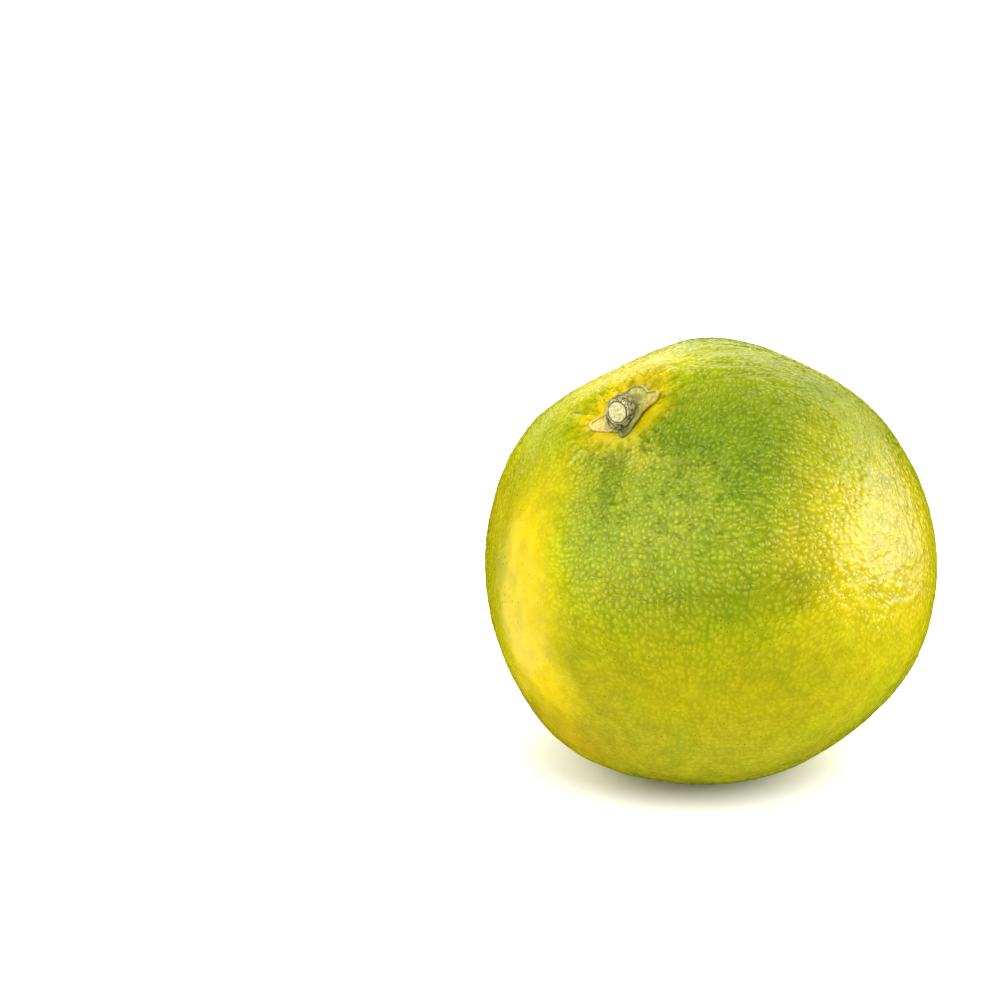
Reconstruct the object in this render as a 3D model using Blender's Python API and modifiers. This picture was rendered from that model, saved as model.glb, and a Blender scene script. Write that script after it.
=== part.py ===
"""A green-skinned mandarin orange, as picked, leaning over on its own small flat spot.

The fruit is one grown piece with a dished stem end. Its five-lobed calyx lies on the skin there, and the
clipped stem stands on the calyx and bends to one side. Units are metres, +Z is up, and the origin is the
middle of the flat spot that the fruit rests on.

Each piece is first turned in the fruit's own frame, where +Z runs from the core to the stem end and
longitude 0 is the side that the fruit leans towards. An empty then tips that frame over.
"""

import math

import bmesh
import bpy
from mathutils import Matrix, Vector

MM = 0.001

# The round of the fruit is a squashed ball, turned about the core's line.
EQUATOR_RADIUS = 33.3 * MM
STEM_END_RADIUS = 30.9 * MM
BLOSSOM_END_RADIUS = 30.4 * MM
SQUARENESS = 2.2
FRUIT_STEPS = 80
FRUIT_RINGS = 52

# Broad swells and hollows, each with its longitude and latitude in degrees and its height.
SWELL_SPREAD = 20.0
SWELLS = {
    "lower_haunch": (-2, -16, 1.4 * MM),
    "lower_cheek": (-14, 4, 0.5 * MM),
    "low_shoulder": (-74, 47, 1.1 * MM),
    "back_flat": (-110, 50, -0.9 * MM),
    "high_shoulder": (-152, 42, 0.9 * MM),
    "shoulder_hollow": (-172, 30, -1.3 * MM),
    "upper_haunch": (142, -23, 0.2 * MM),
    "blossom_side": (115, -38, 0.8 * MM),
    "blossom_front": (57, -45, 0.4 * MM),
    "underside": (0, -77, 1.2 * MM),
    "hidden_cheek": (-100, -15, 0.5 * MM),
}

# The dish that the calyx sits in, the low collar round it, and the dimple at the other end.
DISH_DEPTH = 1.8 * MM
DISH_SPREAD = 9.0
COLLAR_HEIGHT = 0.4 * MM
COLLAR_AT = 15.0
COLLAR_SPREAD = 5.0
DIMPLE_DEPTH = 1.8 * MM
DIMPLE_SPREAD = 8.0

# How the fruit lies: its core's lean from upright, the way that it leans, and the depth of the flat spot.
LEAN = 30.0
LEAN_HEADING = -150.5
FLAT_DEPTH = 0.8 * MM

# Pieces that touch keep this gap.
GAP = 0.3 * MM

# Points of a turned shape that are nearer than this are joined, and edges bent further stay sharp.
MERGE_DISTANCE = 0.01 * MM
SHARP_ANGLE = 40.0

# The calyx: each lobe has a longitude, a reach from the core's line and a half width in degrees.
CALYX_LOBES = (
    (-42, 5.5 * MM, 23),
    (52, 4.3 * MM, 15),
    (171, 6.0 * MM, 22),
    (-140, 6.1 * MM, 25),
    (-95, 5.0 * MM, 20),
)
CALYX_WAIST = 3.0 * MM
CALYX_THICKNESS = 0.75 * MM
CALYX_EDGE = 0.3 * MM
CALYX_STEPS = 64
CALYX_RINGS = 11

# The calyx's middle is a flat seat for the stem. It tilts towards the heading that the stem bends to.
SEAT_HEIGHT = 30.9 * MM
SEAT_TILT = 20.0
SEAT_RADIUS = 2.5 * MM
SEAT_SHOULDER = 1.6 * MM

# The clipped stem: a flared foot with a heel at its back, ribbed bark and a flat cut, bent to one side.
STEM_HEADING = 35.0
STEM_LENGTH = 1.8 * MM
STEM_RADIUS = 1.7 * MM
STEM_FLARE = 0.35 * MM
STEM_HEEL = 0.8 * MM
STEM_FLARE_HEIGHT = 1.1 * MM
STEM_BEND = 32.0
STEM_RIBS = 7
STEM_RIB_DEPTH = 0.09 * MM
STEM_STEPS = 42
STEM_RINGS = 7

SKIN_COLOUR = (0.47, 0.50, 0.02, 1.0)
CALYX_COLOUR = (0.34, 0.36, 0.11, 1.0)
STEM_COLOUR = (0.20, 0.20, 0.10, 1.0)


def clear_scene():
    for obj in list(bpy.data.objects):
        bpy.data.objects.remove(obj)


def direction(longitude, latitude):
    """The unit vector at a longitude and latitude in degrees, in the fruit's own frame."""
    lon, lat = math.radians(longitude), math.radians(latitude)
    return Vector((math.cos(lat) * math.cos(lon), math.cos(lat) * math.sin(lon), math.sin(lat)))


def bell(angle, spread):
    """A smooth hump: 1 at no angle, fading out past the spread."""
    return math.exp(-((angle / spread) ** 2))


def skin_radius(way):
    """The distance from the fruit's middle to its skin, along a unit vector."""
    across = math.hypot(way.x, way.y)
    end = STEM_END_RADIUS if way.z > 0 else BLOSSOM_END_RADIUS
    shares = (across / EQUATOR_RADIUS) ** SQUARENESS + (abs(way.z) / end) ** SQUARENESS
    radius = shares ** (-1 / SQUARENESS)
    for longitude, latitude, height in SWELLS.values():
        radius += height * bell(math.degrees(way.angle(direction(longitude, latitude))), SWELL_SPREAD)
    from_stem = math.degrees(way.angle(Vector((0, 0, 1))))
    radius -= DISH_DEPTH * bell(from_stem, DISH_SPREAD)
    radius += COLLAR_HEIGHT * bell(from_stem - COLLAR_AT, COLLAR_SPREAD)
    radius -= DIMPLE_DEPTH * bell(180 - from_stem, DIMPLE_SPREAD)
    return radius


def principled(name, colour, roughness):
    material = bpy.data.materials.new(name)
    material.use_nodes = True
    shader = material.node_tree.nodes["Principled BSDF"]
    shader.inputs["Base Color"].default_value = colour
    shader.inputs["Roughness"].default_value = roughness
    shader.inputs["Metallic"].default_value = 0.0
    return material


def turned(name, profile, steps):
    """A closed mesh made by turning a profile of (radius, height) points, top to bottom, about Z."""
    mesh = bpy.data.meshes.new(name + "_profile")
    edges = [(i, i + 1) for i in range(len(profile) - 1)]
    mesh.from_pydata([(radius, 0, height) for radius, height in profile], edges, [])
    outline = bpy.data.objects.new(name + "_profile", mesh)
    bpy.context.scene.collection.objects.link(outline)
    screw = outline.modifiers.new("Turn", "SCREW")
    screw.axis = "Z"
    screw.angle = math.tau
    screw.steps = screw.render_steps = steps
    screw.use_merge_vertices = True
    screw.merge_threshold = MERGE_DISTANCE
    graph = bpy.context.evaluated_depsgraph_get()
    solid = bpy.data.meshes.new_from_object(outline.evaluated_get(graph))
    solid.name = name
    bpy.data.objects.remove(outline)
    return solid


def fruit_mesh():
    """A turned ball whose every point then goes out to the skin."""
    angles = [math.pi * i / FRUIT_RINGS for i in range(FRUIT_RINGS + 1)]
    profile = [(EQUATOR_RADIUS * math.sin(a), EQUATOR_RADIUS * math.cos(a)) for a in angles]
    mesh = turned("fruit", profile, FRUIT_STEPS)
    for vertex in mesh.vertices:
        way = vertex.co.normalized()
        vertex.co = way * skin_radius(way)
    return mesh


def calyx_reach(longitude):
    """How far the calyx reaches from the core's line, at a longitude in degrees."""
    reach = CALYX_WAIST
    for middle, length, half_width in CALYX_LOBES:
        aside = (longitude - middle + 180) % 360 - 180
        reach += (length - CALYX_WAIST) * bell(aside, half_width)
    return reach


def seat_normal():
    """The way that the calyx's seat faces, which is also the stem's way at its foot."""
    return direction(STEM_HEADING, 90 - SEAT_TILT)


def seat_share(out):
    """How far a point of the calyx belongs to its seat: 1 on the seat, falling to 0 past its shoulder."""
    past = min(1.0, max(0.0, (out - SEAT_RADIUS) / SEAT_SHOULDER))
    return 1 - past * past * (3 - 2 * past)


def calyx_mesh():
    """A turned disc, stretched out to the lobes, whose underside lies on the skin.

    The profile's radius is the share of the reach, and its height is the height above the skin. The top
    leaves the skin towards the middle and rises to the seat.
    """
    shares = [i / CALYX_RINGS for i in range(CALYX_RINGS + 1)]
    top = [(share, CALYX_EDGE + (CALYX_THICKNESS - CALYX_EDGE) * (1 - share**2)) for share in shares]
    underside = [(share, 0.0) for share in reversed(shares)]
    mesh = turned("calyx", top + underside, CALYX_STEPS)
    normal = seat_normal()
    for vertex in mesh.vertices:
        share = min(1.0, math.hypot(vertex.co.x, vertex.co.y))
        longitude = math.degrees(math.atan2(vertex.co.y, vertex.co.x))
        out = share * calyx_reach(longitude)
        way = direction(longitude, 90 - math.degrees(out / STEM_END_RADIUS))
        radius = skin_radius(way) + GAP + vertex.co.z
        if vertex.co.z > 0:
            seat = SEAT_HEIGHT * normal.z / way.dot(normal)
            radius += (seat - radius) * seat_share(out)
        vertex.co = way * radius
    return mesh


def stem_mesh():
    """A turned stub with ribs, bent over along an arc from its foot on the calyx's seat."""
    heights = [STEM_LENGTH * (1 - i / STEM_RINGS) for i in range(STEM_RINGS + 1)]
    profile = [(0, STEM_LENGTH), *[(STEM_RADIUS, height) for height in heights], (0, 0)]
    mesh = turned("stem", profile, STEM_STEPS)
    foot = Vector((0, 0, SEAT_HEIGHT)) + seat_normal() * GAP
    aside = direction(STEM_HEADING, 0)
    hinge = Vector((0, 0, 1)).cross(aside)
    first = math.radians(SEAT_TILT)
    arc_radius = STEM_LENGTH / math.radians(STEM_BEND)
    for vertex in mesh.vertices:
        flat = Vector((vertex.co.x, vertex.co.y, 0))
        around = math.atan2(flat.y, flat.x)
        rib = STEM_RIB_DEPTH * math.cos(STEM_RIBS * around)
        backward = (1 - math.cos(around - math.radians(STEM_HEADING))) / 2
        low = max(0.0, 1 - vertex.co.z / STEM_FLARE_HEIGHT) ** 2
        flat *= 1 + (rib + (STEM_FLARE + STEM_HEEL * backward) * low) / STEM_RADIUS
        bend = first + vertex.co.z / arc_radius
        along = math.sin(bend) - math.sin(first)
        over = math.cos(first) - math.cos(bend)
        centre = foot + (Vector((0, 0, along)) + aside * over) * arc_radius
        vertex.co = centre + Matrix.Rotation(bend, 3, hinge) @ flat
    return mesh


def tipped_frame(mesh):
    """The matrix that tips the fruit's frame over and stands it on its flat spot, at the origin."""
    tip = Matrix.Rotation(math.radians(LEAN_HEADING), 4, "Z") @ Matrix.Rotation(math.radians(LEAN), 4, "Y")
    places = [tip @ vertex.co for vertex in mesh.vertices]
    floor = min(place.z for place in places) + FLAT_DEPTH
    below = [place for place in places if place.z < floor]
    middle = sum(below, Vector()) / len(below)
    return Matrix.Translation((-middle.x, -middle.y, -floor)) @ tip


def cut_flat_spot(mesh, frame):
    """Cuts the fruit off level at the floor and closes the cut with one flat face."""
    to_fruit = frame.inverted()
    cut = bmesh.new()
    cut.from_mesh(mesh)
    everything = [*cut.verts, *cut.edges, *cut.faces]
    floor_point = to_fruit @ Vector((0, 0, 0))
    down = to_fruit.to_3x3() @ Vector((0, 0, -1))
    bmesh.ops.bisect_plane(cut, geom=everything, plane_co=floor_point, plane_no=down, clear_outer=True)
    rim = [edge for edge in cut.edges if edge.is_boundary]
    bmesh.ops.contextual_create(cut, geom=rim)
    bmesh.ops.recalc_face_normals(cut, faces=cut.faces)
    cut.to_mesh(mesh)
    cut.free()


def place(name, mesh, material, parent, collection):
    """Adds a mesh to the collection as a named piece under the tipped frame."""
    mesh.materials.append(material)
    piece = bpy.data.objects.new(name, mesh)
    collection.objects.link(piece)
    piece.parent = parent
    mesh.shade_smooth()
    mesh.set_sharp_from_angle(angle=math.radians(SHARP_ANGLE))


def main():
    clear_scene()
    collection = bpy.data.collections.new("mandarin_orange")
    bpy.context.scene.collection.children.link(collection)
    fruit = fruit_mesh()
    tipped = bpy.data.objects.new("fruit_core_line", None)
    collection.objects.link(tipped)
    tipped.matrix_world = tipped_frame(fruit)
    cut_flat_spot(fruit, tipped.matrix_world)
    place("fruit", fruit, principled("waxy_rind", SKIN_COLOUR, 0.4), tipped, collection)
    place("calyx", calyx_mesh(), principled("dried_calyx", CALYX_COLOUR, 0.7), tipped, collection)
    place("stem", stem_mesh(), principled("stem_bark", STEM_COLOUR, 0.8), tipped, collection)


main()
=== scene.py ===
"""A mandarin orange on a pale floor: rind, calyx and clipped stem, built round the part's own frame."""

import math

import bpy
from mathutils import Matrix, Quaternion, Vector


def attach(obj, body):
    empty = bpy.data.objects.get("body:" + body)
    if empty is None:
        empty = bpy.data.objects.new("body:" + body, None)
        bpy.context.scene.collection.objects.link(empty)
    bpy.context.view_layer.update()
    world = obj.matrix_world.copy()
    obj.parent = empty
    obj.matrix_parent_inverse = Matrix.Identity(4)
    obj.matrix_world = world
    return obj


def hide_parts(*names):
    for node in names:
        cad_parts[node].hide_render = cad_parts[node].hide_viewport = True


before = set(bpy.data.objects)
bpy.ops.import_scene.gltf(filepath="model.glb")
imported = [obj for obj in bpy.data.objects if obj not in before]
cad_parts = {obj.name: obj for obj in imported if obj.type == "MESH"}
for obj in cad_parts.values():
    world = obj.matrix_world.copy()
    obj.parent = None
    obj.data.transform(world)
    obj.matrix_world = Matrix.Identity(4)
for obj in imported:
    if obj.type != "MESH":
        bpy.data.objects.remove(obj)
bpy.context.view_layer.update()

bl_info = {
    "name": "Mandarin Orange",
    "version": (1, 0, 0),
    "blender": (4, 5, 0),
    "location": "3D View > Sidebar > Mandarin",
    "description": "Builds the rind, calyx, stem and stage of a mandarin orange",
    "category": "Add Mesh",
}

MM = 0.001
PER_MM = 1 / MM

# The middle of the fruit, and the way from there along its core to the stem.
MIDDLE = Vector((0.856, 0.641, 31.610)) * MM
CORE = Vector((-0.4352, -0.2462, 0.8660))
# The middle of the stem's cut face and the way that it looks.
CUT_MIDDLE = Vector((-13.40, -8.45, 59.25)) * MM
CUT_WAY = Vector((-0.5302, -0.8203, 0.2148)).normalized()
# The middle of the stem's foot on the calyx, the way it grows from there, and how deep it is sunk.
STEM_FOOT = Vector((-12.90, -6.80, 58.84)) * MM
STEM_FOOT_WAY = Vector((-0.52, -0.52, 0.67)).normalized()
STEM_SUNK = 0.4 * MM
# Each ring of the stem: how far up the stub it is, from foot to cut, its radius in millimetres, and how much
# taller than wide it is.
STEM_RINGS = (
    (0.0, 2.6, 1.3),
    (0.02, 2.45, 1.3),
    (0.25, 2.2, 1.25),
    (0.5, 2.02, 1.15),
    (0.75, 1.92, 1.06),
    (1.0, 1.88, 1.0),
)
# The torn rim, the crack inside it and the pith: width and rise of each step, in millimetres.
STEM_INSETS = (
    (0.08, 0.14),
    (0.08, -0.02),
    (0.12, -0.26),
    (0.05, 0.26),
    (0.3, 0.06),
    (0.5, 0.02),
    (0.3, 0.0),
)
# Where the frame's calyx is drawn in before it is refined, and by how much and how far round, in millimetres.
CALYX_SHIFTS = (
    ((-9.4, -8.5, 58.2), (-0.6, 0.42, 0.18), 2.5),
    ((-13.6, -9.0, 56.0), (0.2, 0.4, 0.28), 1.6),
    ((-10.0, -2.6, 60.6), (0.7, -0.1, 0.25), 1.6),
)

WELD = 0.005 * MM
# How much two of the frame's triangles may differ from a flat square and still be paired into a quad.
PAIRING = math.radians(50)
# The sphere that the rind starts from, and how often each piece is refined.
SKIN_RADIUS = 33 * MM
FORM_CUTS = 2
SKIN_CUTS = 7
CALYX_CUTS = 2
STEM_CUTS = 2
STEM_SIDES = 64
# Between these heights above the floor, the rind's relief grows from nothing to its full depth.
FLAT_FADE = (0.15 * MM, 1.2 * MM)
# How far the calyx's lobes are drawn in on top and let down below, so that they lie on the skin.
LOBE_LAID = 0.32 * MM
LOBE_LET_DOWN = 0.4 * MM
# Degrees off the core: where the folds round the stem begin and are full, and where the calyx's seat ends.
FOLDS_OFF_CORE = (24, 13)
SEAT_OFF_CORE = (11, 8)

# Places on the skin are (turn, high) in degrees, seen from the middle: turn 0 faces the camera's side, -Y,
# and grows towards +X; high 0 is level and 90 is straight up.
# The place in the middle of the side that the glands are dotted on.
GLAND_FACE = (-5, 34)
# A patch is an oval: its place, half its width and half its height in degrees, its tilt, how soft its edge is
# and its strength. Where the glands stand out more, and where they are calmer:
GLAND_LIFTS = (
    (-20, 38, 46, 34, 0, 0.5, 0.6),
    (30, 62, 50, 24, 0, 0.5, 0.3),
    (170, 30, 60, 40, 0, 0.6, 0.4),
)
GLAND_CALMS = (
    (-60, 4, 15, 34, 12, 0.7, 0.95),
    (0, -40, 90, 40, 0, 0.4, 0.15),
    (-60.5, 60, 13, 13, 0, 0.3, 0.8),
)
# Where burst glands are common.
SPECKLED_PLACES = (
    (-86, 0, 14, 50, 0, 0.4, 0.3),
    (-20, -18, 50, 20, 0, 0.5, 0.1),
    (50, 0, 25, 25, 0, 0.5, 0.1),
)
RIPPLE_PLACE = (-105, 58, 14, 14, 0, 0.5)
CREASE_PLACE = (-18, 44, 28, 20, 0, 0.5)
NET_PLACE = (52, 26, 24, 30, 0, 0.4)
WRINKLE_PLACE = (95, 74, 44, 24, 0, 0.5)
FURROW_PLACE = (-41, 42, 2.6, 9, 20, 0.6)
# The ripening, with some painted light: each patch of the skin has a name and a colour too, and later ones
# lie over earlier ones.
SKIN_PATCHES = (
    ("far_green", 165, 25, 60, 40, 0, 0.6, 0.75, "#80900A"),
    ("far_yellow", -135, -5, 42, 40, 0, 0.6, 0.7, "#B8A80E"),
    ("far_belly", 175, -24, 66, 26, 0, 0.5, 0.8, "#968A0A"),
    ("lower_belly", -8, -12, 60, 24, 0, 0.5, 0.8, "#8E8308"),
    ("blossom_green", 15, -48, 75, 22, 0, 0.5, 0.75, "#8B851B"),
    ("green_cap", 18, 62, 62, 26, 0, 0.35, 0.9, "#7F8A02"),
    ("green_middle", -8, 30, 30, 26, 0, 0.45, 0.85, "#7F8D02"),
    ("deep_green", 14, 58, 26, 14, 0, 0.5, 0.75, "#6F8102"),
    ("green_low", -2, 13, 24, 8, 0, 0.7, 0.6, "#7E8302"),
    # Partly painted sheen: the green middle is paled where a soft sheen lies on it.
    ("green_with_painted_sheen", -26, 36, 22, 17, 0, 0.5, 0.8, "#929A1C"),
    ("left_green", -72, 42, 24, 14, 0, 0.6, 0.8, "#999902"),
    # Partly painted highlight: the left cheek's yellow band is brightened where a soft highlight lies.
    ("yellow_band_and_painted_highlight", -58, 2, 11, 32, 12, 0.65, 0.95, "#CAAD02"),
    # Painted reflection: the left rim is darkened to olive, as if neighbouring fruit were mirrored in it.
    ("left_rim_painted_reflection", -84, 0, 16, 36, 0, 0.3, 0.8, "#9E9102"),
    ("low_left", -56, -36, 20, 12, 0, 0.6, 0.6, "#A18014"),
    ("right_yellow", 52, 18, 26, 30, 0, 0.45, 0.85, "#C0A902"),
    ("right_crown", 66, 48, 22, 10, 0, 0.5, 0.75, "#A19E02"),
    ("orange_patch", 24, 22, 8, 9, 0, 0.7, 0.7, "#AA9702"),
    ("dark_spot", 2, 12, 6, 5, 0, 0.8, 0.7, "#7B8402"),
    ("green_spot", 21, 16, 7, 5, 0, 0.8, 0.6, "#717602"),
    # Partly painted sheen: the top is paled where grazing light lies on it.
    ("top_green_and_painted_sheen", 120, 78, 30, 14, 0, 0.5, 0.7, "#868E13"),
    ("stem_ring", -68, 62, 13, 12, 0, 0.5, 0.9, "#DEB604"),
    ("stem_ring_top", -88, 72, 9, 6, 0, 0.6, 0.8, "#BE9E04"),
    ("below_calyx", -45, 52, 11, 6, 0, 0.6, 0.8, "#BAA82A"),
    ("blossom_scar", 119.5, -60, 3.2, 3.2, 0, 0.4, 0.9, "#6A5526"),
    # Painted reflection: a pale strip along the top-left edge, where the white room would be mirrored at
    # grazing.
    ("edge_painted_reflection", -118, 60, 9, 15, 0, 0.4, 0.8, "#D4BC44"),
)
# The calyx's patches, from its pale lobes to the dark one in front of the stem.
CALYX_PATCHES = (
    (-60, 68, 10, 5, 0, 0.6, 0.7, "#B0A848"),
    (-70, 52.5, 6, 3, 0, 0.4, 1.0, "#DCC468"),
    (-52, 70, 4, 3, 0, 0.5, 0.9, "#BEAA48"),
    (-48, 56, 4, 3, 0, 0.5, 0.95, "#6A683A"),
    (-47, 61, 5, 3, 0, 0.5, 0.6, "#8E8E4C"),
)

# What each layer of the rind multiplies the colour by: above 1 is lighter, and less blue is yellower.
# The first two paint shade into the folds and creases, and light on their crests.
SUNK_SHADE_TINT = (0.6, 0.72, 0.5, 1.0)
CREST_LIGHT_TINT = (1.25, 1.18, 1.6, 1.0)
BETWEEN_TINT = (0.62, 0.76, 0.55, 1.0)
DOT_TINT = (1.22, 1.22, 1.6, 1.0)
# Painted shade in the crevices between packed glands.
CREVICE_SHADE_TINT = (0.62, 0.66, 0.25, 1.0)
GRAIN_TINT = (0.8, 0.88, 0.7, 1.0)
CLOUD_TINT = (0.82, 0.95, 0.7, 1.0)

# The rules that a material or a relief is worked out by: the node, its inputs in the order that their values
# are given, its output and its settings.
SUM = ("ShaderNodeMath", (0, 1), 0, {"operation": "ADD"})
DIFFERENCE = ("ShaderNodeMath", (0, 1), 0, {"operation": "SUBTRACT"})
PRODUCT = ("ShaderNodeMath", (0, 1), 0, {"operation": "MULTIPLY"})
QUOTIENT = ("ShaderNodeMath", (0, 1), 0, {"operation": "DIVIDE"})
POWER = ("ShaderNodeMath", (0, 1), 0, {"operation": "POWER"})
IS_LESS = ("ShaderNodeMath", (0, 1), 0, {"operation": "LESS_THAN"})
SIZE = ("ShaderNodeMath", (0,), 0, {"operation": "ABSOLUTE"})
ARCTANGENT = ("ShaderNodeMath", (0,), 0, {"operation": "ARCTANGENT"})
APART = ("ShaderNodeVectorMath", (0, 1), 0, {"operation": "SUBTRACT"})
SCALED = ("ShaderNodeVectorMath", (0, "Scale"), 0, {"operation": "SCALE"})
SQUASHED = ("ShaderNodeVectorMath", (0, 1), 0, {"operation": "MULTIPLY"})
STRETCHED = ("ShaderNodeVectorMath", (0, 1, 2), 0, {"operation": "MULTIPLY_ADD"})
UNIT = ("ShaderNodeVectorMath", (0,), 0, {"operation": "NORMALIZE"})
ALONG = ("ShaderNodeVectorMath", (0, 1), "Value", {"operation": "DOT_PRODUCT"})
LENGTH = ("ShaderNodeVectorMath", (0,), "Value", {"operation": "LENGTH"})
STEP = ("ShaderNodeMapRange", (0, 1, 2, 3, 4), 0, {"interpolation_type": "SMOOTHSTEP"})
NOISE = ("ShaderNodeTexNoise", ("Vector", "Scale", "Detail"), 0, {})
COLOUR_NOISE = ("ShaderNodeTexNoise", ("Vector", "Scale", "Detail"), "Color", {})
FLAT_COLOUR_NOISE = ("ShaderNodeTexNoise", ("Vector", "Scale", "Detail"), "Color", {"noise_dimensions": "2D"})
TURNED = ("ShaderNodeVectorRotate", ("Vector", "Rotation"), 0, {"rotation_type": "EULER_XYZ", "invert": True})
MIX = ("ShaderNodeMix", (0, 6, 7), 2, {"data_type": "RGBA"})
TINT = ("ShaderNodeMix", (0, 6, 7), 2, {"data_type": "RGBA", "blend_type": "MULTIPLY"})


def linear(hex_colour):
    """The linear colour, with full alpha, of an sRGB hex colour."""
    shares = [int(hex_colour[i : i + 2], 16) / 255 for i in (1, 3, 5)]
    return (*(c / 12.92 if c <= 0.04045 else ((c + 0.055) / 1.055) ** 2.4 for c in shares), 1.0)


def add_node(tree, kind, inputs=None, **settings):
    """Adds a node with its settings, and sets or links its inputs."""
    made = tree.nodes.new(kind)
    for name, value in settings.items():
        setattr(made, name, value)
    for key, value in (inputs or {}).items():
        if isinstance(value, bpy.types.NodeSocket):
            tree.links.new(value, made.inputs[key])
        else:
            made.inputs[key].default_value = value
    return made


def work_out(tree, rule, *values):
    """Adds the node of a rule for some values, and gives its output.

    More values than the rule has inputs are taken in one after another, as in a sum.
    """
    kind, inputs, output, settings = rule
    made = add_node(tree, kind, dict(zip(inputs, values)), **settings)
    for value in values[len(inputs) :]:
        made = add_node(tree, kind, dict(zip(inputs, (made.outputs[output], value))), **settings)
    return made.outputs[output]


def pick(piece):
    """Selects one piece alone and makes it active."""
    bpy.ops.object.select_all(action="DESELECT")
    piece.select_set(True)
    bpy.context.view_layer.objects.active = piece


def modify(piece, kind, **settings):
    """Adds a modifier with its settings to the active piece and applies it."""
    modifier = piece.modifiers.new(kind.lower(), kind)
    for name, value in settings.items():
        setattr(modifier, name, value)
    bpy.ops.object.modifier_apply(modifier=modifier.name)


def subdivide(piece, cuts):
    """Subdivides the active piece smoothly."""
    modify(piece, "SUBSURF", subdivision_type="CATMULL_CLARK", levels=cuts, render_levels=cuts)


def welded_copy(node, name):
    """A copy of a node's mesh, with its loose triangles merged and paired into quads."""
    piece = bpy.data.objects.new(name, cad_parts[node].data.copy())
    bpy.context.scene.collection.objects.link(piece)
    pick(piece)
    bpy.ops.mesh.customdata_custom_splitnormals_clear()
    bpy.ops.object.mode_set(mode="EDIT")
    bpy.ops.mesh.select_all(action="SELECT")
    bpy.ops.mesh.remove_doubles(threshold=WELD)
    bpy.ops.mesh.mark_sharp(clear=True)
    bpy.ops.mesh.tris_convert_to_quads(face_threshold=PAIRING, shape_threshold=PAIRING)
    bpy.ops.mesh.normals_make_consistent(inside=False)
    bpy.ops.object.mode_set(mode="OBJECT")
    return piece


def hand_over(piece, node, material):
    """Gives a finished piece its material and its place in the frame."""
    piece.data.materials.clear()
    piece.data.materials.append(material)
    pick(piece)
    bpy.ops.object.shade_smooth()
    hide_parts(node)
    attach(piece, "root")


def new_material(name):
    """A material with its node tree, its shader and the place on the piece."""
    material = bpy.data.materials.new(name)
    material.use_nodes = True
    tree = material.node_tree
    tree.nodes.clear()
    shader = add_node(tree, "ShaderNodeBsdfPrincipled")
    add_node(tree, "ShaderNodeOutputMaterial", {"Surface": shader.outputs["BSDF"]})
    place = add_node(tree, "ShaderNodeTexCoord").outputs["Object"]
    return material, tree, shader, place


def shape_by_nodes(piece, name, build):
    """Moves the active piece's points by the offset, in metres, that build makes, and applies it.

    What build wants kept for the material is stored on the points under its name.
    """
    tree = bpy.data.node_groups.new(name, "GeometryNodeTree")
    for way in ("INPUT", "OUTPUT"):
        tree.interface.new_socket("Geometry", in_out=way, socket_type="NodeSocketGeometry")
    shape = add_node(tree, "NodeGroupInput").outputs[0]
    place = add_node(tree, "GeometryNodeInputPosition").outputs[0]
    normal = add_node(tree, "GeometryNodeInputNormal").outputs[0]
    raised, kept = build(tree, place, normal)
    offset = work_out(tree, SCALED, normal, raised)
    for label, value in kept.items():
        stored = add_node(
            tree,
            "GeometryNodeStoreNamedAttribute",
            {"Geometry": shape, "Name": label},
            data_type="FLOAT_VECTOR",
            domain="POINT",
        )
        tree.links.new(value, stored.inputs["Value"])
        shape = stored.outputs[0]
    moved = add_node(tree, "GeometryNodeSetPosition", {"Geometry": shape, "Offset": offset})
    add_node(tree, "NodeGroupOutput", {0: moved.outputs[0]})
    modify(piece, "NODES", node_group=tree)


def from_middle(tree, place):
    """The place in millimetres from the fruit's middle, and the way to it."""
    apart = work_out(tree, APART, place, MIDDLE)
    in_mm = work_out(tree, SCALED, apart, PER_MM)
    way = work_out(tree, UNIT, in_mm)
    return in_mm, way


def strayed(tree, way, coarse, fine):
    """The way to a place, moved about by noise, so that what it marks has a living edge."""
    moved = way
    for amount, scale in ((coarse, 2.4), (fine, 11.0)):
        stray = work_out(tree, COLOUR_NOISE, way, scale)
        moved = work_out(tree, STRETCHED, stray, (amount,) * 3, moved)
    back = ((coarse + fine) / 2,) * 3
    return work_out(tree, APART, moved, back)


def patch(tree, way, turn, high, half_width, half_height, tilt, edge, strength=1.0):
    """How far a place lies inside an oval patch of skin, from 0 outside to the strength inside."""
    turned = work_out(tree, TURNED, way, [math.radians(angle) for angle in (tilt, -high, turn - 90)])
    wide, tall = (1 / math.sin(math.radians(half)) for half in (half_width, half_height))
    oval = work_out(tree, STRETCHED, turned, (1.0, wide, tall), (-1.0, 0.0, 0.0))
    out = work_out(tree, LENGTH, oval)
    return work_out(tree, STEP, out, 1 - edge, 1 + edge, strength, 0.0)


def uneven(tree, place, scale, detail=2.0):
    """Noise round 0, whose humps are about 1 / scale apart."""
    return work_out(tree, SUM, work_out(tree, NOISE, place, scale, detail), -0.5)


def lines(tree, vector, scale, width, detail=2.0):
    """Thin wandering lines: 1 where noise crosses its middle, 0 away from there."""
    off = work_out(tree, DIFFERENCE, work_out(tree, NOISE, vector, scale, detail), 0.5)
    apart = work_out(tree, SIZE, off)
    return work_out(tree, STEP, apart, 0.0, width, 1.0, 0.0)


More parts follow.
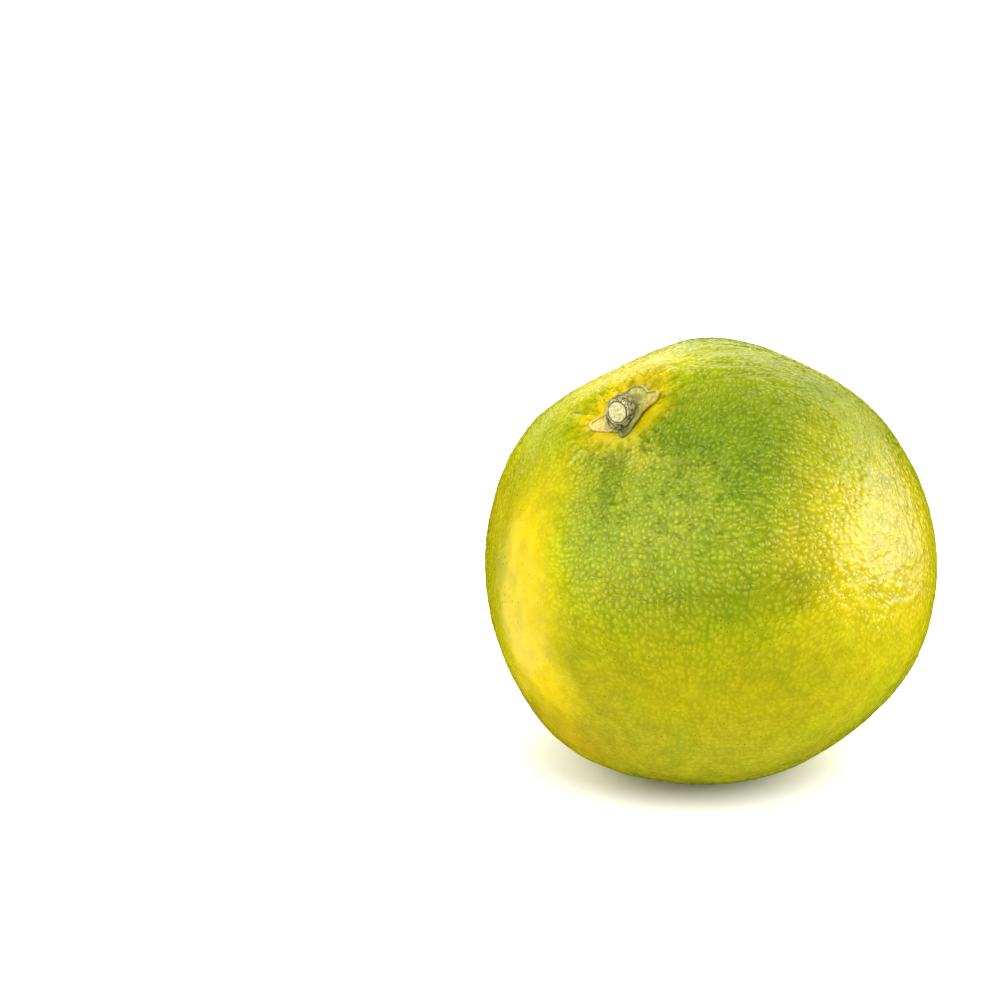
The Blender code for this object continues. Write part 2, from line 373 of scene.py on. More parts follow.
def glands(tree, way, spacing):
    """The oil glands, dotted flat on six sides of the fruit whose borders melt into each other.

    Gives how far a place is from its gland's middle, a chance of its own for each gland, from 0 to 1, and how
    far it is from the crevice between two glands.
    """
    turn, high = GLAND_FACE
    turned = work_out(tree, TURNED, way, [math.radians(angle) for angle in (0, -high, turn - 90)])
    parts = add_node(tree, "ShaderNodeSeparateXYZ", {0: turned}).outputs
    weights, results = [], []
    for front, side, rise in ((0, 1, 2), (1, 2, 0), (2, 0, 1)):
        flat = []
        for part in (side, rise):
            slope = work_out(tree, QUOTIENT, parts[part], parts[front])
            angle = work_out(tree, ARCTANGENT, slope)
            flat.append(work_out(tree, PRODUCT, angle, MIDDLE.z / spacing))
        spot = add_node(tree, "ShaderNodeCombineXYZ", {0: flat[0], 1: flat[1]}).outputs[0]
        stray = work_out(tree, FLAT_COLOUR_NOISE, spot, 0.3, 0.0)
        moved = work_out(tree, STRETCHED, stray, (0.9,) * 3, spot)
        cells = {"Vector": moved, "Scale": 1.0, "Randomness": 0.85}
        own, edge = (
            add_node(tree, "ShaderNodeTexVoronoi", cells, feature=feature, voronoi_dimensions="2D")
            for feature in ("F1", "DISTANCE_TO_EDGE")
        )
        chance = add_node(tree, "ShaderNodeSeparateXYZ", {0: own.outputs["Color"]})
        results.append((own.outputs["Distance"], chance.outputs[0], edge.outputs["Distance"]))
        size = work_out(tree, SIZE, parts[front])
        weights.append(work_out(tree, POWER, size, 24.0))
    whole = work_out(tree, SUM, *weights)
    shares = [work_out(tree, QUOTIENT, weight, whole) for weight in weights]
    melted = []
    for on_sides in zip(*results):
        weighed = (work_out(tree, PRODUCT, share, on_side) for share, on_side in zip(shares, on_sides))
        melted.append(work_out(tree, SUM, *weighed))
    return melted


def gland_share(tree, way):
    """How strongly the glands stand out: most on the green shoulder, least on the ripe cheeks."""
    share = 0.5
    for lift in GLAND_LIFTS:
        share = work_out(tree, SUM, share, patch(tree, way, *lift))
    for calm in GLAND_CALMS:
        kept = work_out(tree, DIFFERENCE, 1.0, patch(tree, way, *calm))
        share = work_out(tree, PRODUCT, share, kept)
    return share


def folds_round_stem(tree, way):
    """Folds that run out from the stem: noise that changes with the angle round the core, not along it.

    Also gives how near the stem a place is, from 0 to 1, and the same with the calyx's seat left out.
    """
    along = work_out(tree, ALONG, way, CORE)
    on_core = work_out(tree, SCALED, CORE, along)
    aside = work_out(tree, APART, way, on_core)
    around = work_out(tree, UNIT, aside)
    drift = work_out(tree, STRETCHED, aside, (1.2,) * 3, around)
    soft = uneven(tree, drift, 9.0)
    sharp = work_out(tree, PRODUCT, lines(tree, drift, 5.5, 0.1, 2.0), -0.25)
    folds = work_out(tree, SUM, soft, sharp)
    # Ripples that lie across the folds.
    rings = work_out(tree, STRETCHED, on_core, (30.0,) * 3, around)
    ripples = uneven(tree, rings, 1.5)
    near = work_out(tree, STEP, along, *(math.cos(math.radians(off)) for off in FOLDS_OFF_CORE))
    seat = (math.cos(math.radians(off)) for off in SEAT_OFF_CORE)
    outside_seat = work_out(tree, STEP, along, *seat, 1.0, 0.0)
    return folds, ripples, near, outside_seat


def fine_relief(tree, way, rind, share):
    """The glands' relief in millimetres, then what glands gives, then how tightly the glands are packed."""
    out, chance, edge = glands(tree, way, rind.gland_spacing)
    size = work_out(tree, STEP, chance, 0.0, 1.0, 0.6, 1.15)
    packed = work_out(tree, STEP, share, 0.65, 1.05)
    domes = work_out(tree, PRODUCT, work_out(tree, STEP, out, 0.08, 0.52, 1.0, 0.0), size, share)
    pebbles = work_out(tree, PRODUCT, work_out(tree, STEP, edge, 0.0, 0.4), packed, 0.6)
    height = work_out(tree, PRODUCT, work_out(tree, SUM, domes, pebbles), rind.gland_depth * PER_MM)
    return height, out, chance, edge, packed


def skin_height(tree, in_mm, way, rind, share):
    """The skin's height in millimetres, and how far its folds and creases alone lie above or below it."""
    domes = fine_relief(tree, way, rind, share)[0]
    waves = work_out(tree, PRODUCT, uneven(tree, in_mm, 0.22), 0.4)
    folds, ripples, near_stem, outside_seat = folds_round_stem(tree, way)
    stem_folds = work_out(tree, PRODUCT, folds, near_stem, rind.fold_depth * PER_MM)
    folds_left = work_out(tree, PRODUCT, ripples, patch(tree, way, *RIPPLE_PLACE), 0.7)
    crease_place = patch(tree, way, *CREASE_PLACE)
    cuts = lines(tree, in_mm, 0.3, 0.045, 3.0)
    cuts = work_out(tree, PRODUCT, cuts, crease_place, -rind.crease_depth * PER_MM)
    net_place = patch(tree, way, *NET_PLACE)
    net = work_out(tree, PRODUCT, lines(tree, in_mm, 0.42, 0.1, 2.0), net_place, 0.16)
    # Wrinkles drawn out from side to side.
    flat_mm = work_out(tree, SQUASHED, in_mm, (0.22, 0.6, 0.6))
    shoulder = patch(tree, way, *WRINKLE_PLACE)
    wrinkles = work_out(tree, PRODUCT, uneven(tree, flat_mm, 1.0, 3.0), shoulder, 0.7)
    furrow = work_out(tree, PRODUCT, patch(tree, way, *FURROW_PLACE), -0.6)
    form = work_out(tree, SUM, cuts, stem_folds, folds_left, wrinkles, furrow)
    form = work_out(tree, PRODUCT, form, outside_seat)
    fine = work_out(tree, PRODUCT, work_out(tree, SUM, domes, waves, net, -0.1), outside_seat)
    return work_out(tree, SUM, fine, form), work_out(tree, SUM, form, net)


def rind_shape(rind):
    """Returns the builder of the rind's relief, which dies out at the flat resting spot.

    Keeps on the points the skin's colour, painted sheen, highlight and reflection included, and how strong
    the glands, the specks and the folds are.
    """

    def build(tree, place, normal):
        in_mm, way = from_middle(tree, place)
        share = gland_share(tree, way)
        height, form = skin_height(tree, in_mm, way, rind, share)
        low = add_node(tree, "ShaderNodeSeparateXYZ", {0: place}).outputs["Z"]
        raised = work_out(tree, PRODUCT, height, work_out(tree, STEP, low, *FLAT_FADE), MM)
        near_way = strayed(tree, way, 0.22, 0.07)
        colour = rind.skin_colour
        for _, turn, high, wide, tall, tilt, edge, strength, hex_colour in SKIN_PATCHES:
            inside = patch(tree, near_way, turn, high, wide, tall, tilt, edge, strength)
            colour = work_out(tree, MIX, inside, colour, linear(hex_colour))
        # Greener clouds, 6 to 8 mm across, and light and dark mottling, 2 to 3 mm across.
        cloud = work_out(tree, STEP, work_out(tree, NOISE, in_mm, 0.14, 3.0), 0.42, 0.62, 0.0, 0.6)
        colour = work_out(tree, TINT, cloud, colour, CLOUD_TINT)
        mottle = work_out(tree, STEP, work_out(tree, NOISE, in_mm, 0.4, 3.0), 0.3, 0.7, 0.9, 1.08)
        colour = work_out(tree, TINT, 1.0, colour, mottle)
        speckles = [patch(tree, way, *speckled) for speckled in SPECKLED_PLACES]
        speckled = work_out(tree, SUM, 0.07, *speckles)
        marks = add_node(tree, "ShaderNodeCombineXYZ", {0: share, 1: speckled, 2: form}).outputs[0]
        return raised, {"ripening_and_painted_light": colour, "marks": marks}

    return build


def rind_material(rind):
    """Citrus rind, grown: waxy, with oil glands that show as lighter dots, and a fine satin gloss."""
    material, tree, shader, place = new_material("waxy_citrus_rind")
    in_mm, way = from_middle(tree, place)
    colour = add_node(tree, "ShaderNodeAttribute", attribute_name="ripening_and_painted_light").outputs["Color"]
    marks = add_node(tree, "ShaderNodeAttribute", attribute_name="marks").outputs["Vector"]
    share, speckled, form = add_node(tree, "ShaderNodeSeparateXYZ", {0: marks}).outputs
    # Painted shade and light: folds and creases are painted greener and darker, and their crests paler, as
    # shade and light on the relief would make them.
    sunk = work_out(tree, STEP, form, -0.4, 0.0, 0.9, 0.0)
    colour = work_out(tree, TINT, sunk, colour, SUNK_SHADE_TINT)
    crest_light = work_out(tree, STEP, form, 0.02, 0.22, 0.0, 0.6)
    colour = work_out(tree, TINT, crest_light, colour, CREST_LIGHT_TINT)
    domes, out, chance, edge, packed = fine_relief(tree, way, rind, share)
    # Each gland is a pale round dot, two thirds as wide as their spacing, and the skin between is greener.
    own_share = work_out(tree, PRODUCT, share, work_out(tree, STEP, chance, 0.0, 0.9, 0.55, 1.1))
    away = work_out(tree, STEP, out, 0.28, 0.56)
    looser = work_out(tree, STEP, packed, 0.0, 1.0, 0.9, 0.45)
    between = work_out(tree, PRODUCT, away, own_share, looser)
    colour = work_out(tree, TINT, between, colour, BETWEEN_TINT)
    dot = work_out(tree, PRODUCT, work_out(tree, STEP, out, 0.16, 0.42, 1.0, 0.0), own_share, 0.9)
    colour = work_out(tree, TINT, dot, colour, DOT_TINT)
    # Where they are tightly packed, they meet in crevices painted dark with shade, which breaks off here and
    # there.
    broken = work_out(tree, STEP, work_out(tree, NOISE, in_mm, 0.9, 2.0), 0.42, 0.62, 0.05, 1.0)
    crevice = work_out(tree, PRODUCT, work_out(tree, STEP, edge, 0.0, 0.18, 1.0, 0.0), packed, broken, 0.8)
    colour = work_out(tree, TINT, crevice, colour, CREVICE_SHADE_TINT)
    # A gland in thirty is orange, where they stand out.
    one_in_thirty = work_out(tree, STEP, chance, 0.965, 0.975)
    middle = work_out(tree, STEP, out, 0.15, 0.33, 1.0, 0.0)
    orange = work_out(tree, PRODUCT, one_in_thirty, middle, work_out(tree, STEP, share, 0.5, 0.8, 0.0, 0.25))
    colour = work_out(tree, MIX, orange, colour, linear("#D8A018"))
    # Fine cloudy grain, half a millimetre across, that leans to green.
    cloud = work_out(tree, STEP, work_out(tree, NOISE, in_mm, 1.6, 3.0), 0.35, 0.65, 0.0, 0.5)
    colour = work_out(tree, TINT, cloud, colour, GRAIN_TINT)
    # Painted shade: thin dark lines between the glands, about a fifth of a millimetre wide, as shadows in
    # fine creases.
    crease_shade = work_out(tree, PRODUCT, lines(tree, in_mm, 0.55, 0.012, 3.0), share, 0.35)
    colour = work_out(tree, MIX, crease_shade, colour, linear("#4A5A08"))
    # Sparse dark specks where a gland has burst, about a quarter of a millimetre across.
    few = work_out(tree, IS_LESS, chance, speckled)
    speck = work_out(tree, PRODUCT, work_out(tree, STEP, out, 0.06, 0.19, 1.0, 0.0), few, 0.85)
    colour = work_out(tree, MIX, speck, colour, linear("#46440C"))
    tree.links.new(colour, shader.inputs["Base Color"])
    smoothest, roughest = rind.roughness - 0.03, rind.roughness + 0.06
    rough = work_out(tree, STEP, work_out(tree, NOISE, in_mm, 0.8, 2.0), 0.3, 0.7, smoothest, roughest)
    dull = work_out(tree, PRODUCT, work_out(tree, STEP, edge, 0.0, 0.22, 1.0, 0.0), packed, 0.3)
    tree.links.new(work_out(tree, SUM, rough, dull), shader.inputs["Roughness"])
    shader.inputs["IOR"].default_value = 1.45
    shader.inputs["Specular IOR Level"].default_value = 0.25
    # The wax is faintly yellow.
    shader.inputs["Specular Tint"].default_value = linear("#FFFABE")
    # The glands' rims are finer than the mesh, so the bump sharpens them; the grain is finer still.
    grain = work_out(tree, PRODUCT, work_out(tree, NOISE, in_mm, 3.2, 2.0), 0.02)
    bump = add_node(tree, "ShaderNodeBump", {"Height": work_out(tree, SUM, domes, grain), "Distance": MM})
    tree.links.new(bump.outputs[0], shader.inputs["Normal"])
    return material


def calyx_material(calyx):
    """Dried flower cup, grown: dull and papery, olive by the stem and cream at the lobes' tips."""
    material, tree, shader, place = new_material("dried_calyx_tissue")
    in_mm, way = from_middle(tree, place)
    near_way = strayed(tree, way, 0.03, 0.03)
    colour = calyx.tissue_colour
    for turn, high, wide, tall, tilt, edge, strength, hex_colour in CALYX_PATCHES:
        inside = patch(tree, near_way, turn, high, wide, tall, tilt, edge, strength)
        colour = work_out(tree, MIX, inside, colour, linear(hex_colour))
    fleck = work_out(tree, STEP, work_out(tree, NOISE, in_mm, 2.2, 4.0), 0.3, 0.7, 0.72, 1.15)
    colour = work_out(tree, TINT, 1.0, colour, fleck)
    # Dark dried veins, a tenth of a millimetre wide, and a darker ring round the stem's foot.
    veins = work_out(tree, PRODUCT, lines(tree, in_mm, 0.9, 0.03, 2.0), 0.5)
    colour = work_out(tree, MIX, veins, colour, linear("#5A5428"))
    out = from_cut(tree, place)[2]
    colour = work_out(tree, MIX, work_out(tree, STEP, out, 1.85, 2.3, 0.7, 0.0), colour, linear("#66623A"))
    # The lobes' thin edges and undersides, which turn away from the core, are browner: dried tissue, and
    # painted shade along the rims.
    looks = add_node(tree, "ShaderNodeTexCoord").outputs["Normal"]
    rise = work_out(tree, ALONG, looks, CORE)
    edge = work_out(tree, STEP, rise, 0.1, 0.5, 0.2, 0.0)
    colour = work_out(tree, MIX, edge, colour, linear("#8A7A44"))
    tree.links.new(colour, shader.inputs["Base Color"])
    shader.inputs["Roughness"].default_value = 0.6
    shader.inputs["Specular IOR Level"].default_value = 0.15
    rough = work_out(tree, PRODUCT, work_out(tree, NOISE, in_mm, 4.0, 4.0), 0.08)
    bump = add_node(tree, "ShaderNodeBump", {"Height": rough, "Distance": MM})
    tree.links.new(bump.outputs[0], shader.inputs["Normal"])
    return material


def calyx_shape(calyx):
    """Returns the builder of the calyx's veins, pits and underside; the lobes lie down on the skin."""

    def build(tree, place, normal):
        in_mm, way = from_middle(tree, place)
        folds = folds_round_stem(tree, way)[0]
        veins = work_out(tree, PRODUCT, folds, calyx.vein_depth)
        pits = work_out(tree, PRODUCT, uneven(tree, in_mm, 1.4, 3.0), calyx.vein_depth * 0.8)
        facing = work_out(tree, ALONG, normal, CORE)
        lying = work_out(tree, STEP, facing, -0.35, 0.15, 0.0, -LOBE_LAID)
        under = work_out(tree, STEP, facing, -0.6, -0.2, LOBE_LET_DOWN, 0.0)
        return work_out(tree, SUM, veins, pits, lying, under), {}

    return build


def from_cut(tree, place):
    """Where a place is on the stem: height above the cut and distance from its axis, in mm, and the side."""
    apart = work_out(tree, APART, place, CUT_MIDDLE)
    in_mm = work_out(tree, SCALED, apart, PER_MM)
    up = work_out(tree, ALONG, in_mm, CUT_WAY)
    on_axis = work_out(tree, SCALED, CUT_WAY, up)
    aside = work_out(tree, APART, in_mm, on_axis)
    out = work_out(tree, LENGTH, aside)
    side = work_out(tree, UNIT, aside)
    return in_mm, up, out, side


def stem_streaks(tree, up, side, spacing):
    """Streaks that run along the stem and, on its cut, out from the middle."""
    lifted = add_node(tree, "ShaderNodeCombineXYZ", {0: up, 1: up, 2: up})
    mixed = work_out(tree, STRETCHED, lifted.outputs[0], (0.12,) * 3, side)
    return work_out(tree, NOISE, mixed, 1.7 / spacing, 3.0)


def stem_shape(stem):
    """Returns the builder of the bark's streaks, torn rim and rough cut."""

    def build(tree, place, normal):
        in_mm, up, out, side = from_cut(tree, place)
        streaks = work_out(tree, SUM, stem_streaks(tree, up, side, 0.45), -0.5)
        streaks = work_out(tree, PRODUCT, streaks, stem.crack_depth)
        bark = work_out(tree, STEP, out, 1.45, 1.7)
        lumps = work_out(tree, PRODUCT, uneven(tree, in_mm, 1.5, 3.0), stem.crack_depth * 0.9)
        return work_out(tree, SUM, work_out(tree, PRODUCT, streaks, bark), lumps), {}

    return build


def stem_material(stem):
    """Clipped green wood: a pale fibrous cut, a dark torn rim and grey-green bark."""
    material, tree, shader, place = new_material("clipped_twig_bark")
    in_mm, up, out, side = from_cut(tree, place)
    streaks = stem_streaks(tree, up, side, 0.13)
    grit = work_out(tree, STEP, work_out(tree, NOISE, in_mm, 1.9, 4.0), 0.38, 0.62)
    bark = work_out(tree, MIX, grit, linear("#443E20"), stem.bark_colour)
    low_bark = work_out(tree, MIX, work_out(tree, STEP, up, -2.2, -1.2, 0.5, 0.0), bark, linear("#84824A"))
    # The rim tore into fibres on the side away from the snip.
    torn_way = work_out(tree, ALONG, side, (0.75, 0.0, 0.65))
    torn = work_out(tree, STEP, torn_way, -0.2, 0.6)
    fibre = work_out(tree, STEP, streaks, 0.46, 0.53)
    fibres = work_out(tree, MIX, fibre, linear("#3C361C"), linear("#C4BC8C"))
    rim = work_out(tree, MIX, torn, work_out(tree, MIX, grit, linear("#6A6440"), linear("#BDB888")), fibres)
    on_cut = work_out(tree, STEP, up, -0.45, -0.2)
    colour = work_out(tree, MIX, on_cut, low_bark, rim)
    pith_shade = work_out(tree, STEP, work_out(tree, NOISE, in_mm, 2.8, 4.0), 0.35, 0.65)
    pith = work_out(tree, MIX, pith_shade, linear("#A29C64"), linear("#D4CC98"))
    crack = work_out(tree, STEP, out, 1.42, 1.5)
    crack_end = work_out(tree, STEP, out, 1.56, 1.64, 1.0, 0.0)
    in_pith = work_out(tree, PRODUCT, on_cut, work_out(tree, STEP, out, 1.5, 1.58, 1.0, 0.0))
    colour = work_out(tree, MIX, in_pith, colour, pith)
    crack = work_out(tree, PRODUCT, crack, crack_end, on_cut, 0.85)
    colour = work_out(tree, MIX, crack, colour, linear("#3E371E"))
    tree.links.new(colour, shader.inputs["Base Color"])
    shader.inputs["Roughness"].default_value = 0.85
    shader.inputs["Specular IOR Level"].default_value = 0.1
    rough = work_out(tree, PRODUCT, work_out(tree, NOISE, in_mm, 6.0, 4.0), 0.08)
    bump = add_node(tree, "ShaderNodeBump", {"Height": rough, "Distance": MM})
    tree.links.new(bump.outputs[0], shader.inputs["Normal"])
    return material


class RindSettings(bpy.types.PropertyGroup):
    """The rind's sizes, gloss and colour."""

    gland_spacing: bpy.props.FloatProperty(
        name="Gland spacing", description="Distance between oil glands", default=0.9 * MM, unit="LENGTH"
    )
    gland_depth: bpy.props.FloatProperty(
        name="Gland depth", description="Depth of the grooves between glands", default=0.1 * MM, unit="LENGTH"
    )
    crease_depth: bpy.props.FloatProperty(
        name="Crease depth", description="Depth of the wandering creases", default=0.3 * MM, unit="LENGTH"
    )
    fold_depth: bpy.props.FloatProperty(
        name="Fold depth", description="Depth of the folds round the stem", default=1.5 * MM, unit="LENGTH"
    )
    roughness: bpy.props.FloatProperty(
        name="Roughness", description="Roughness of the waxy surface", default=0.17, subtype="FACTOR"
    )
    skin_colour: bpy.props.FloatVectorProperty(
        name="Skin colour",
        description="Colour of the skin where no ripening patch covers it",
        default=linear("#BDB302"),
        size=4,
        subtype="COLOR",
    )


class CalyxSettings(bpy.types.PropertyGroup):
    """The calyx's sizes and colour."""

    vein_depth: bpy.props.FloatProperty(
        name="Vein depth", description="Depth of the dried veins", default=0.2 * MM, unit="LENGTH"
    )
    tissue_colour: bpy.props.FloatVectorProperty(
        name="Tissue colour",
        description="Colour of the dried calyx between its patches",
        default=linear("#A6A650"),
        size=4,
        subtype="COLOR",
    )


class StemSettings(bpy.types.PropertyGroup):
    """The stem's sizes and colour."""

    crack_depth: bpy.props.FloatProperty(
        name="Crack depth", description="Depth of the cracks in the bark", default=0.3 * MM, unit="LENGTH"
    )
    bark_colour: bpy.props.FloatVectorProperty(
        name="Bark colour",
        description="Colour of the bark on its crests",
        default=linear("#98945E"),
        size=4,
        subtype="COLOR",
    )


class StageSettings(bpy.types.PropertyGroup):
    """The stage's sizes and colours."""

    floor_size: bpy.props.FloatProperty(
        name="Floor size", description="Side of the square floor", default=3.0, unit="LENGTH"
    )
    floor_colour: bpy.props.FloatVectorProperty(
        name="Floor colour",
        description="Colour of the floor",
        default=linear("#FAFAFA"),
        size=4,
        subtype="COLOR",
    )


class MANDARIN_OT_rind(bpy.types.Operator):
    """Makes the rind from a rounded cube wrapped on the fruit, then raises its relief"""

    bl_idname = "mandarin.rind"
    bl_label = "Make Rind"

    def execute(self, context):
        form = welded_copy("fruit", "fruit_form")
        subdivide(form, FORM_CUTS)
        bpy.ops.object.select_all(action="DESELECT")
        bpy.ops.mesh.primitive_cube_add(size=2 * SKIN_RADIUS, location=MIDDLE)
        piece = context.object
        piece.name = piece.data.name = "rind"
        subdivide(piece, SKIN_CUTS)
        modify(piece, "CAST", cast_type="SPHERE", factor=1.0, radius=SKIN_RADIUS, use_radius_as_size=True)
        bpy.ops.object.transform_apply(location=True, rotation=True, scale=True)
        modify(
            piece,
            "SHRINKWRAP",
            target=form,
            wrap_method="PROJECT",
            use_negative_direction=True,
            use_positive_direction=True,
        )
        bpy.data.objects.remove(form)
        shape_by_nodes(piece, "rind_relief", rind_shape(context.scene.mandarin_rind))
        hand_over(piece, "fruit", rind_material(context.scene.mandarin_rind))
        return {"FINISHED"}


class MANDARIN_OT_calyx(bpy.types.Operator):
    """Makes the calyx from its frame shape, veined, pitted and pressed on to the skin"""

    bl_idname = "mandarin.calyx"
    bl_label = "Make Calyx"

    def execute(self, context):
        piece = welded_copy("calyx", "dried_calyx")
        for spot, shift, reach in CALYX_SHIFTS:
            spot = Vector(spot) * MM
            bpy.ops.object.mode_set(mode="EDIT")
            bpy.ops.mesh.select_all(action="DESELECT")
            bpy.ops.object.mode_set(mode="OBJECT")
            for vertex in piece.data.vertices:
                vertex.select = (vertex.co - spot).length < reach / 2 * MM
            bpy.ops.object.mode_set(mode="EDIT")
            bpy.ops.transform.translate(
                value=Vector(shift) * MM,
                use_proportional_edit=True,
                proportional_edit_falloff="SMOOTH",
                proportional_size=reach * MM,
            )
            bpy.ops.object.mode_set(mode="OBJECT")
        subdivide(piece, CALYX_CUTS)
        shape_by_nodes(piece, "calyx_relief", calyx_shape(context.scene.mandarin_calyx))
        hand_over(piece, "calyx", calyx_material(context.scene.mandarin_calyx))
        return {"FINISHED"}


class MANDARIN_OT_stem(bpy.types.Operator):
    """Makes the clipped stem: rings drawn out from its foot, then its torn rim and pith inset in the cut"""

    bl_idname = "mandarin.stem"
    bl_label = "Make Stem"

    def execute(self, context):
        bpy.ops.object.select_all(action="DESELECT")
        turn = STEM_FOOT_WAY.to_track_quat("Z", "Y").to_euler()
        start = STEM_FOOT - STEM_FOOT_WAY * STEM_SUNK
        centre, (share, radius, tall) = start, STEM_RINGS[0]
        bpy.ops.mesh.primitive_circle_add(
            vertices=STEM_SIDES, radius=radius * MM, fill_type="NGON", location=start, rotation=turn
        )
        piece = context.object
        piece.name = piece.data.name = "clipped_stem"
        bpy.ops.object.transform_apply(location=True, rotation=True, scale=True)
        bpy.ops.object.mode_set(mode="EDIT")
        bpy.ops.transform.resize(value=(1, 1, tall), center_override=start)
        hinge = STEM_FOOT_WAY.cross(CUT_WAY).normalized()
        whole = STEM_FOOT_WAY.angle(CUT_WAY)
        knee = STEM_FOOT + STEM_FOOT_WAY * (CUT_MIDDLE - STEM_FOOT).length / 2
        for next_share, next_radius, next_tall in STEM_RINGS[1:]:
            next_centre = (
                STEM_FOOT * (1 - next_share) ** 2
                + knee * 2 * next_share * (1 - next_share)
                + CUT_MIDDLE * next_share**2
            )
            bpy.ops.mesh.extrude_region_move(TRANSFORM_OT_translate={"value": next_centre - centre})
            size = next_radius / radius
            bpy.ops.transform.resize(value=(size, size, size * next_tall / tall), center_override=next_centre)
            lean = Matrix.Rotation(whole * (next_share - share), 3, hinge).to_euler()
            for axis, angle in zip("XYZ", lean):
                # Without a window the operator turns the other way.
                bpy.ops.transform.rotate(value=-angle, orient_axis=axis, center_override=next_centre)
            centre, share, radius, tall = next_centre, next_share, next_radius, next_tall
        for thickness, depth in STEM_INSETS:
            bpy.ops.mesh.inset(thickness=thickness * MM, depth=depth * MM)
        bpy.ops.mesh.select_all(action="SELECT")
        bpy.ops.mesh.normals_make_consistent(inside=False)
        bpy.ops.object.mode_set(mode="OBJECT")
        subdivide(piece, STEM_CUTS)
        shape_by_nodes(piece, "stem_relief", stem_shape(context.scene.mandarin_stem))
        hand_over(piece, "stem", stem_material(context.scene.mandarin_stem))
        return {"FINISHED"}


# The soft boxes: name, way from the middle, distance, width and height in metres, roll in degrees, power in
# watts, colour, and whether the box lights the surface, or else only shines in its gloss.
SOFT_BOXES = (
    ("key", (0.1, 0.08, 0.95), 1.2, 1.0, 1.0, 0, 9.0, "#FFFFFF", True),
    ("fill", (-0.75, 0.4, 0.35), 1.2, 0.8, 0.8, 0, 4.0, "#FFFFFF", True),
    ("front_left", (-0.54, -0.45, 0.71), 0.9, 0.74, 0.86, 0, 25.0, "#D0D0FF", False),
    ("right", (0.945, -0.06, 0.21), 0.7, 0.54, 0.48, -20, 11.5, "#D0D0FF", False),
    ("far_right", (0.875, 0.42, 0.1), 0.7, 0.36, 0.5, -20, 2.2, "#D0D0FF", False),
    ("left_strip", (-0.91, 0.263, -0.318), 0.25, 0.16, 0.2, 0, 0.11, "#D0D0FF", False),
    ("behind", (0.3, 0.92, 0.33), 1.0, 1.1, 0.4, 0, 3.0, "#FFFFF0", False),
    ("behind_left", (-0.33, 0.93, 0.09), 1.0, 0.6, 0.1, 0, 0.6, "#FFF6D0", False),
)
ROOM_BRIGHTNESS = 1.4
# Painted light: the floor glows away from the fruit, standing in for light bounced in from the front, which
# keeps the shadow short:
# how much faster towards the front, how far the dark spot lies to the left, where it brightens, in
# millimetres, and by how much.
GLOW_STRETCH = (PER_MM, 1.5 * PER_MM, PER_MM)
GLOW_ASIDE = (6.0, 0.0, 0.0)
GLOW_FROM_TO = (16.0, 36.0)
GLOW = 0.6
# The camera looks down by its rise, in degrees, from its distance, with the fruit to the right and below the
# middle of the picture. Its lens has its focal length in pixels of a picture as wide as the sensor.
CAMERA_RISE = 23
CAMERA_DISTANCE = 0.75
CAMERA_LEFT = 31.3 * MM
CAMERA_UP = 9.15 * MM
FOCAL_PIXELS = 5040
PICTURE_PIXELS = 1000
SENSOR = 36.0


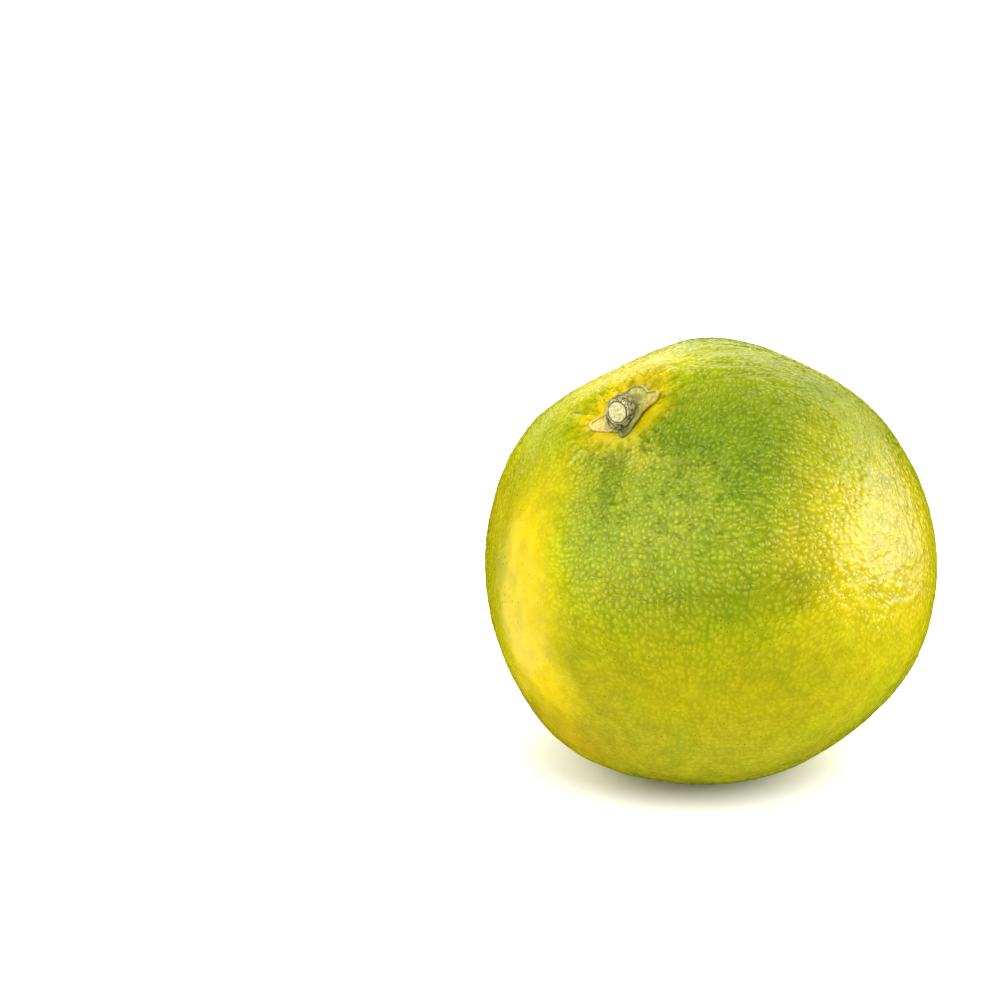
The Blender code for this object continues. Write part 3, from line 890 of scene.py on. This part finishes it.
class MANDARIN_OT_stage(bpy.types.Operator):
    """Makes the pale floor, the soft lights and the camera"""

    bl_idname = "mandarin.stage"
    bl_label = "Make Stage"

    def execute(self, context):
        stage = context.scene.mandarin_stage
        bpy.ops.object.select_all(action="DESELECT")
        bpy.ops.mesh.primitive_plane_add(size=stage.floor_size)
        floor = context.object
        floor.name = "floor"
        material, tree, shader, place = new_material("floor_with_painted_glow")
        shader.inputs["Base Color"].default_value = stage.floor_colour
        shader.inputs["Roughness"].default_value = 0.9
        shader.inputs["Specular IOR Level"].default_value = 0.0
        # Painted light: the floor glows, brighter away from the fruit.
        away = work_out(tree, LENGTH, work_out(tree, STRETCHED, place, GLOW_STRETCH, GLOW_ASIDE))
        shader.inputs["Emission Color"].default_value = stage.floor_colour
        glow = work_out(tree, STEP, away, *GLOW_FROM_TO, 0.0, GLOW)
        tree.links.new(glow, shader.inputs["Emission Strength"])
        floor.data.materials.append(material)
        floor.visible_glossy = False
        for name, way, distance, width, height, roll, power, colour, lights in SOFT_BOXES:
            way = Vector(way).normalized()
            bpy.ops.object.light_add(type="AREA", location=MIDDLE + way * distance)
            box = context.object
            box.name = name
            facing = way.to_track_quat("Z", "Y") @ Quaternion((0, 0, 1), math.radians(roll))
            box.rotation_euler = facing.to_euler()
            box.data.shape = "RECTANGLE"
            box.data.size = width
            box.data.size_y = height
            box.data.energy = power
            box.data.color = linear(colour)[:3]
            box.visible_diffuse = lights
            box.visible_glossy = not lights
            box.visible_camera = False
        world = bpy.data.worlds.new("white_room")
        context.scene.world = world
        world.use_nodes = True
        sky = world.node_tree.nodes["Background"]
        sky.inputs["Color"].default_value = (1.0, 1.0, 1.0, 1.0)
        sky.inputs["Strength"].default_value = ROOM_BRIGHTNESS
        world.cycles_visibility.glossy = False
        rise = math.radians(CAMERA_RISE)
        right = Vector((1, 0, 0))
        up = Vector((0, math.sin(rise), math.cos(rise)))
        back = Vector((0, -math.cos(rise), math.sin(rise)))
        bpy.ops.object.camera_add()
        camera = context.object
        camera.data.sensor_width = SENSOR
        camera.data.lens = SENSOR * FOCAL_PIXELS / PICTURE_PIXELS
        camera.data.clip_start = 0.01
        spot = MIDDLE - right * CAMERA_LEFT + up * CAMERA_UP + back * CAMERA_DISTANCE
        camera.matrix_world = Matrix.Translation(spot) @ Matrix((right, up, back)).transposed().to_4x4()
        context.scene.camera = camera
        context.scene.view_settings.view_transform = "Standard"
        return {"FINISHED"}


PIECES = ("rind", "calyx", "stem", "stage")
SETTINGS = {"rind": RindSettings, "calyx": CalyxSettings, "stem": StemSettings, "stage": StageSettings}


class MANDARIN_PT_pieces(bpy.types.Panel):
    """Lists the mandarin's pieces and their settings"""

    bl_idname = "MANDARIN_PT_pieces"
    bl_label = "Mandarin Orange"
    bl_space_type = "VIEW_3D"
    bl_region_type = "UI"
    bl_category = "Mandarin"

    def draw(self, context):
        for piece in PIECES:
            settings = getattr(context.scene, "mandarin_" + piece)
            box = self.layout.box()
            for name in settings.__annotations__:
                box.prop(settings, name)
            box.operator("mandarin." + piece)


CLASSES = (
    *SETTINGS.values(),
    MANDARIN_OT_rind,
    MANDARIN_OT_calyx,
    MANDARIN_OT_stem,
    MANDARIN_OT_stage,
    MANDARIN_PT_pieces,
)


def register():
    for cls in CLASSES:
        bpy.utils.register_class(cls)
    for piece, settings in SETTINGS.items():
        setattr(bpy.types.Scene, "mandarin_" + piece, bpy.props.PointerProperty(type=settings))


def unregister():
    for piece in SETTINGS:
        delattr(bpy.types.Scene, "mandarin_" + piece)
    for cls in reversed(CLASSES):
        bpy.utils.unregister_class(cls)


def main():
    register()
    for piece in PIECES:
        getattr(bpy.ops.mandarin, piece)()


if __name__ == "__main__":
    main()
